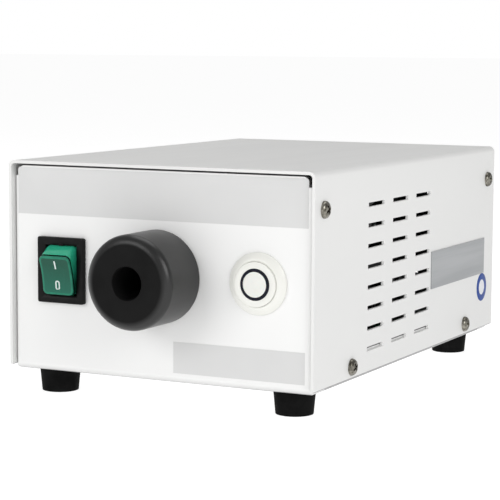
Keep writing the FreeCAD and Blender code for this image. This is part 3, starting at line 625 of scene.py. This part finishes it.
RIM_FINISH, FACE_FINISH, GROOVE_SHADE = 1, 2, 3
bm = bmesh.new()
add_box(bm, (ROCKER_W, 1.0, 2 * ROCKER_CHORD), (0, 0.5, 0))
round_off(bm, edges_along(bm, 1, 0.5), 2.4 * MM, 6)
for depth in (PLATE_BACK, GROOVE_BACK, KNEE_DEPTH, 0.62, 0.75, 0.88):
    slice_at(bm, (0, depth, 0), (0, 1, 0))
for step in range(-5, 6):
    slice_at(bm, (0, 0, step * 1.15 * MM), (0, 0, 1))
plate = [f for f in bm.faces if f.normal.y < -0.9]
sides = [f for f in bm.faces if abs(f.normal.y) < 0.1]
plate_edge = [f for f in sides if f.calc_center_median().y < PLATE_BACK]
groove = [f for f in sides if PLATE_BACK < f.calc_center_median().y < GROOVE_BACK]
for vert in bm.verts:
    depth, z = vert.co.y, vert.co.z
    wall_y, wall_z = end_wall(depth)
    hollow = (face_height(z) + ROCKER_RISE) * max(0.0, 1.0 - depth / 0.35)
    vert.co.y = wall_y + hollow
    vert.co.z = z * wall_z / ROCKER_CHORD
bm.normal_update()
# The groove's faces take the near-black painted shade.
for face in groove:
    face.material_index = GROOVE_SHADE
bmesh.ops.inset_region(bm, faces=groove, thickness=0.03 * MM, depth=-0.55 * MM, use_even_offset=True)
ring = bmesh.ops.inset_region(bm, faces=plate, thickness=0.12 * MM, depth=0.0,
                              use_even_offset=True)["faces"]
for face in plate_edge + ring + plate:
    face.material_index = RIM_FINISH
bmesh.ops.translate(bm, vec=(0, -0.08 * MM, 0), verts=list({v for f in plate for v in f.verts}))
bmesh.ops.inset_region(bm, faces=plate, thickness=0.85 * MM, use_even_offset=True)
for face in plate:
    face.material_index = FACE_FINISH
bmesh.ops.transform(bm, matrix=tilt_to_off, verts=bm.verts)
finishes = [finish[0] for finish in (rocker_wall_and_shade, rocker_rim, rocker_face, rocker_groove_shade)]
rocker = new_piece("green_rocker", bm, finishes, body="rocker", sharp=40.0)
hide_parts("rocker_cap")

mark_white = shader("mark_white", (0.66, 0.74, 0.71), 0.45, specular=0.2)
add_mottle(mark_white, (0.70, 0.78, 0.75), (0.60, 0.68, 0.65), 500.0)
add_grain(mark_white, 2600.0, 0.15)
MARK_THICK = 0.05 * MM
BAR_WIDE, BAR_TALL, BAR_UP = 0.75 * MM, 4.1 * MM, 5.2 * MM
NOUGHT_WIDE, NOUGHT_TALL, NOUGHT_DOWN = 2.45 * MM, 4.6 * MM, 4.9 * MM
NOUGHT_ROUND, NOUGHT_LINE = 1.18 * MM, 0.66 * MM


def drape_on_rocker(name, bm):
    """Lays a flat shape drawn in X and Z on the rocker's face as a thin print."""
    for vert in bm.verts:
        vert.co.y += face_height(vert.co.z) - 0.10 * MM
    bmesh.ops.transform(bm, matrix=tilt_to_off, verts=bm.verts)
    bmesh.ops.recalc_face_normals(bm, faces=bm.faces)
    new_piece(name, bm, [mark_white[0]], body="rocker")


bm = bmesh.new()
add_box(bm, (BAR_WIDE, MARK_THICK, BAR_TALL), (0, 0, BAR_UP))
bmesh.ops.subdivide_edges(bm, edges=edges_along(bm, 2, MM), cuts=4)
drape_on_rocker("rocker_mark_on", bm)

bm = bmesh.new()
bmesh.ops.create_grid(bm, x_segments=1, y_segments=1, size=0.5)
bmesh.ops.scale(bm, vec=(NOUGHT_WIDE, NOUGHT_TALL, 1.0), verts=bm.verts)
round_off(bm, bm.verts[:], NOUGHT_ROUND, 6, affect="VERTICES")
hole = bm.faces[:]
bmesh.ops.inset_region(bm, faces=hole, thickness=NOUGHT_LINE, use_even_offset=True, use_boundary=True)
bmesh.ops.delete(bm, geom=hole, context="FACES")
bmesh.ops.solidify(bm, geom=bm.faces[:], thickness=MARK_THICK)
bmesh.ops.rotate(bm, cent=(0, 0, 0), matrix=Matrix.Rotation(math.radians(90), 3, "X"), verts=bm.verts)
bmesh.ops.translate(bm, vec=(0, 0, -NOUGHT_DOWN), verts=bm.verts)
drape_on_rocker("rocker_mark_off", bm)


# ---- Light port ----------------------------------------------------------------------
# Turned collar with a broad rounded shoulder and a bore for the light guide's ferrule,
# satin black; its spigot goes through the panel.
COLLAR_R, COLLAR_ROUND, BORE_R, SPIGOT_R = 21.8 * MM, 4.3 * MM, 7.5 * MM, 12.0 * MM
SHOULDER_SLOPE = math.radians(9)     # at which the shoulder leaves the face
MATT_R, SATIN_R = 17.3 * MM, 19.6 * MM
MATT_SHEEN, SATIN_SHEEN = 0.07, 0.55
collar_low, collar_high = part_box("light_port_collar")
collar_at = (collar_low + collar_high) / 2
collar_at.y = 0.0

collar_black = shader("collar_black", (0.006, 0.006, 0.006), 0.33)
add_mottle(collar_black, (0.008, 0.008, 0.008), (0.005, 0.005, 0.005), 70.0)
add_grain(collar_black, 1900.0, 0.06)
# The face and bore are matt; the sheen grows across the shoulder to the satin side.
_, nodes, links, principled = collar_black
place = nodes.new("ShaderNodeTexCoord")
from_axis = nodes.new("ShaderNodeVectorMath")
from_axis.operation = "SUBTRACT"
from_axis.inputs[1].default_value = collar_at
flat = nodes.new("ShaderNodeVectorMath")
flat.operation = "MULTIPLY"
flat.inputs[1].default_value = (1.0, 0.0, 1.0)
radius = nodes.new("ShaderNodeVectorMath")
radius.operation = "LENGTH"
sheen = nodes.new("ShaderNodeMapRange")
for socket, number in (("From Min", MATT_R), ("From Max", SATIN_R),
                       ("To Min", MATT_SHEEN), ("To Max", SATIN_SHEEN)):
    sheen.inputs[socket].default_value = number
links.new(place.outputs["Object"], from_axis.inputs[0])
links.new(from_axis.outputs["Vector"], flat.inputs[0])
links.new(flat.outputs["Vector"], radius.inputs[0])
links.new(radius.outputs["Value"], sheen.inputs["Value"])
links.new(sheen.outputs["Result"], principled.inputs["Specular IOR Level"])

face_y = collar_low.y
profile = [(BORE_R, collar_high.y - 0.4 * MM), (BORE_R, face_y + 0.5 * MM),
           (BORE_R + 0.15 * MM, face_y + 0.15 * MM), (BORE_R + 0.35 * MM, face_y)]
first_sine, first_cosine = math.sin(SHOULDER_SLOPE), math.cos(SHOULDER_SLOPE)
for step in range(13):
    bend = SHOULDER_SLOPE + (math.pi / 2 - SHOULDER_SLOPE) * step / 12
    outward = (math.sin(bend) - first_sine) / (1 - first_sine)
    profile.append((COLLAR_R - COLLAR_ROUND * (1 - outward),
                    face_y + COLLAR_ROUND * (1 - math.cos(bend) / first_cosine)))
profile += [(COLLAR_R, panel_y - 0.5 * MM), (COLLAR_R - 0.4 * MM, panel_y), (SPIGOT_R, panel_y),
            (SPIGOT_R, collar_high.y - 0.6 * MM), (SPIGOT_R - 0.6 * MM, collar_high.y),
            (BORE_R + 0.4 * MM, collar_high.y), (BORE_R, collar_high.y - 0.4 * MM)]
bm = bmesh.new()
turned(bm, profile, collar_at, (0, 1, 0), steps=128)
collar = new_piece("light_port", bm, [collar_black[0]], sharp=30.0)
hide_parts("light_port_collar")


# ---- Touch switch --------------------------------------------------------------------
# White moulded bezel with a shallow dished button; a dark ring frames its pale centre.
BEZEL_R, BARREL_R, CAP_R, RING_R, LENS_R = 14.2 * MM, 12.0 * MM, 10.15 * MM, 7.25 * MM, 5.74 * MM
CAP_GAP, LIP_GAP = 0.1 * MM, 0.3 * MM           # between the cap and the bezel, and at its lip
STEM_WIDE, STEM_LONG = 5.0 * MM, 16.8 * MM
touch_low, touch_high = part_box("touch_switch_bezel")
touch_at = (touch_low + touch_high) / 2
touch_at.y = 0.0

ivory = shader("touch_ivory", (0.775, 0.775, 0.73), 0.24)
add_mottle(ivory, (0.785, 0.785, 0.745), (0.765, 0.765, 0.720), 60.0)
add_grain(ivory, 1500.0, 0.06)
stand = touch_low.y
throat, lip = CAP_R + CAP_GAP, CAP_R + LIP_GAP
bm = bmesh.new()
turned(bm, [(lip, touch_high.y), (lip, stand + 1.6 * MM), (throat, stand + 1.4 * MM),
            (throat, stand + 0.25 * MM), (lip, stand + 0.06 * MM), (lip + 0.5 * MM, stand),
            (lip + 1.0 * MM, stand + 0.12 * MM), (BEZEL_R - 1.0 * MM, panel_y - 1.75 * MM),
            (BEZEL_R - 0.45 * MM, panel_y - 1.35 * MM), (BEZEL_R - 0.1 * MM, panel_y - 1.05 * MM),
            (BEZEL_R, panel_y - 0.85 * MM), (BEZEL_R, panel_y), (BARREL_R, panel_y),
            (BARREL_R, touch_high.y), (lip, touch_high.y)], touch_at, (0, 1, 0), steps=96)
touch_bezel = new_piece("touch_bezel", bm, [ivory[0]], sharp=45.0)
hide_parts("touch_switch_bezel")

cap_low, cap_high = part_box("touch_button_cap")
ring_low, ring_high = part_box("touch_button_ring")
lens_low, lens_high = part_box("touch_button_lens")
cap_back = cap_high.y - STEM_LONG
bm = bmesh.new()
turned(bm, [(0, cap_back), (CAP_R, cap_back), (CAP_R, cap_low.y + 0.35 * MM),
            (CAP_R - 0.1 * MM, cap_low.y + 0.08 * MM), (CAP_R - 0.4 * MM, cap_low.y),
            (RING_R + 0.3 * MM, cap_low.y), (RING_R, cap_low.y + 0.2 * MM), (RING_R, ring_high.y),
            (0, ring_high.y)], touch_at, (0, 1, 0), steps=96)
add_box(bm, (STEM_WIDE, STEM_LONG, STEM_WIDE), (touch_at.x, cap_high.y - STEM_LONG / 2, touch_at.z))
touch_cap = new_piece("touch_cap", bm, [ivory[0]], body="touch_button", sharp=40.0)
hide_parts("touch_button_cap")

navy = shader("touch_navy", (0.005, 0.006, 0.014), 0.22, specular=0.15)
add_mottle(navy, (0.007, 0.008, 0.018), (0.004, 0.005, 0.010), 300.0)
add_grain(navy, 1500.0, 0.05)
ring_r, ring_face = RING_R - 0.02 * MM, ring_low.y + 0.02 * MM
bm = bmesh.new()
turned(bm, [(0, ring_high.y), (ring_r, ring_high.y), (ring_r, ring_low.y + 0.18 * MM),
            (RING_R - 0.2 * MM, ring_face), (LENS_R, ring_face), (0, ring_face)],
       touch_at, (0, 1, 0), steps=96)
touch_ring = new_piece("touch_ring", bm, [navy[0]], body="touch_button", sharp=40.0)
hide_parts("touch_button_ring")

pale = shader("touch_pale_lens", (0.77, 0.765, 0.725), 0.24)
pale[3].inputs["Subsurface Weight"].default_value = 0.1
pale[3].inputs["Subsurface Scale"].default_value = 0.001
add_mottle(pale, (0.78, 0.775, 0.735), (0.75, 0.745, 0.705), 160.0)
add_grain(pale, 800.0, 0.05)
bm = bmesh.new()
turned(bm, [(0, lens_high.y), (LENS_R, lens_high.y), (LENS_R, lens_high.y - 0.12 * MM),
            (LENS_R - 0.15 * MM, lens_high.y - 0.2 * MM), (LENS_R - 1.2 * MM, lens_low.y + 0.03 * MM),
            (0, lens_low.y)], touch_at, (0, 1, 0), steps=96)
touch_lens = new_piece("touch_lens", bm, [pale[0]], body="touch_button", sharp=50.0)
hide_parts("touch_button_lens")

nylon = shader("white_nylon", (0.76, 0.75, 0.69), 0.50)
add_mottle(nylon, (0.79, 0.78, 0.72), (0.72, 0.71, 0.65), 120.0)
add_grain(nylon, 1500.0, 0.15)
dress(nylon, "touch_contact_block")


# ---- Cover ---------------------------------------------------------------------------
# One bent sheet makes the top and both sides, with 24 slots punched in each side.
# White powder coat with a fine orange peel, a little greyer than the chassis, and faint
# streaks along its length that are a painted reflection. Its slot walls are painted
# whiter as painted light, and a thin dark band along its lower edge is painted shade.
# Besides the coat: a grey for the painted shade along the lower edge, and a near-white for the painted
# light on the slot walls.
COVER_COAT, LOWER_EDGE_SHADE, SLOT_WALL_LIGHT = (0.74, 0.74, 0.73), (0.25, 0.25, 0.25), (0.95, 0.95, 0.94)
SHEET, BEND, EDGE_ROUND = 1.5 * MM, 3.0 * MM, 0.15 * MM
SLOT_COLUMNS, SLOT_ROWS = 3, 8
SLOT_LONG, SLOT_TALL = 19.4 * MM, 2.0 * MM
SLOT_PITCH_Y, SLOT_PITCH_Z = 30.06 * MM, 9.73 * MM
SLOT_FIRST, SLOT_TOP = 60.3 * MM, 79.05 * MM

cover_coat_and_painted_light = shader("cover_coat_with_painted_light", COVER_COAT, 0.42)
add_grain(cover_coat_and_painted_light, 1400.0, 0.12)
# Painted reflection: the mottle is stretched into faint streaks along the cover's length.
add_mottle(cover_coat_and_painted_light, (0.754, 0.754, 0.744), (0.727, 0.727, 0.719), 9.0, stretch=(6.0, 0.4, 1.0))
# Painted shade: a thin dark band along the lower edge.
blend_along(cover_coat_and_painted_light, "Z", base + 0.35 * MM, base + 0.25 * MM, LOWER_EDGE_SHADE)
slot_edge_painted_light = shader("cover_slot_edge", COVER_COAT, 0.42)
add_grain(slot_edge_painted_light, 1400.0, 0.12)
add_mottle(slot_edge_painted_light, (0.752, 0.752, 0.742), (0.728, 0.728, 0.720), 9.0)
# Painted light: the slot walls, away from the front and rear edges, turn near-white.
blend_along(slot_edge_painted_light, "Y", cover_low.y + 20 * MM, cover_low.y + 30 * MM, SLOT_WALL_LIGHT)

bm = bmesh.new()
add_box(bm, cover_high - cover_low, (cover_high + cover_low) / 2)
open_sides = [f for f in bm.faces if f.normal.z < -0.5 or abs(f.normal.y) > 0.5]
bmesh.ops.delete(bm, geom=open_sides, context="FACES")
round_off(bm, [e for e in edges_along(bm, 1, 0.1) if e.verts[0].co.z > 0.1], BEND, 8)
columns = [cover_low.y + SLOT_FIRST + i * SLOT_PITCH_Y for i in range(SLOT_COLUMNS)]
rows = [base + SLOT_TOP - i * SLOT_PITCH_Z for i in range(SLOT_ROWS)]
for y in columns:
    slice_at(bm, (0, y, 0), (0, 1, 0))
    slice_at(bm, (0, y + SLOT_LONG, 0), (0, 1, 0))
for z in rows:
    slice_at(bm, (0, 0, z - SLOT_TALL / 2), (0, 0, 1))
    slice_at(bm, (0, 0, z + SLOT_TALL / 2), (0, 0, 1))
slots = []
for face in bm.faces:
    middle = face.calc_center_median()
    in_column = any(y < middle.y < y + SLOT_LONG for y in columns)
    in_row = any(abs(middle.z - z) < SLOT_TALL / 2 for z in rows)
    if in_column and in_row and abs(face.normal.x) > 0.9:
        slots.append(face)
bmesh.ops.delete(bm, geom=slots, context="FACES")
cover = new_piece("cover_sheet", bm, [cover_coat_and_painted_light[0], slot_edge_painted_light[0]])
wall = cover.modifiers.new("sheet", "SOLIDIFY")
wall.thickness = SHEET
wall.offset = -1.0
wall.use_even_offset = True
wall.material_offset_rim = 1         # the slot_edge_painted_light finish
edge = cover.modifiers.new("edge", "BEVEL")
edge.width = EDGE_ROUND
edge.segments = 2
edge.limit_method = "ANGLE"
edge.angle_limit = math.radians(50)
edge.harden_normals = True
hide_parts("cover")


# ---- Cover screws --------------------------------------------------------------------
# Nickel-plated M4 pan heads with a cross recess, four on each side: two near the top
# edge and two near the lower edge.
HEAD_R, HEAD_H = 4.0 * MM, 2.4 * MM
SCREW_PLACES = [(10.0, 80.7), (225.0, 80.7), (42.2, 5.3), (192.8, 5.3)]

for side, cad_name in ((1, "cover_screws_right"), (-1, "cover_screws_left")):
    at = [(side * cover_high.x, cover_low.y + y * MM, base + z * MM) for y, z in SCREW_PLACES]
    heads = screws("pan_heads_" + cad_name[13:], HEAD_R, HEAD_H, at, (side, 0, 0))
    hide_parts(cad_name)


# ---- Rating plate and blue disc ------------------------------------------------------
# A bare brushed aluminium plate stuck to the right side near the back, and a small
# blue vinyl disc with a plain white middle below its rear end.
DISC_R, DISC_THICK = 7.6 * MM, 0.1 * MM
WHITE_R = 0.54 * DISC_R
plate_metal = shader("plate_aluminium", (0.36, 0.37, 0.38), 0.42, metallic=0.75)
add_mottle(plate_metal, (0.40, 0.41, 0.42), (0.33, 0.34, 0.35), 260.0, stretch=(1.0, 0.03, 1.0))
add_grain(plate_metal, 2600.0, 0.25, stretch=(1.0, 0.03, 1.0))
dress(plate_metal, "rating_plate")

disc_at = Vector((cover_high.x, cover_low.y + 218.8 * MM, base + 22.2 * MM))
blue_vinyl = shader("blue_vinyl", (0.028, 0.070, 0.29), 0.42, specular=0.12)
add_mottle(blue_vinyl, (0.034, 0.082, 0.32), (0.022, 0.060, 0.26), 220.0)
add_grain(blue_vinyl, 1200.0, 0.08)
white_vinyl = shader("white_vinyl", (0.74, 0.75, 0.78), 0.42, specular=0.2)
add_mottle(white_vinyl, (0.76, 0.77, 0.80), (0.71, 0.72, 0.76), 220.0)
add_grain(white_vinyl, 1200.0, 0.08)
bm = bmesh.new()
turned(bm, [(0, 0), (DISC_R, 0), (DISC_R, DISC_THICK - 0.02 * MM), (DISC_R - 0.03 * MM, DISC_THICK),
            (WHITE_R, DISC_THICK), (0, DISC_THICK)], disc_at, (1, 0, 0), steps=48)
for face in bm.faces:
    inside = (face.calc_center_median() - disc_at).yz.length < WHITE_R
    face.material_index = 1 if inside and face.normal.x > 0.5 else 0
new_piece("blue_disc", bm, [blue_vinyl[0], white_vinyl[0]], sharp=50.0)
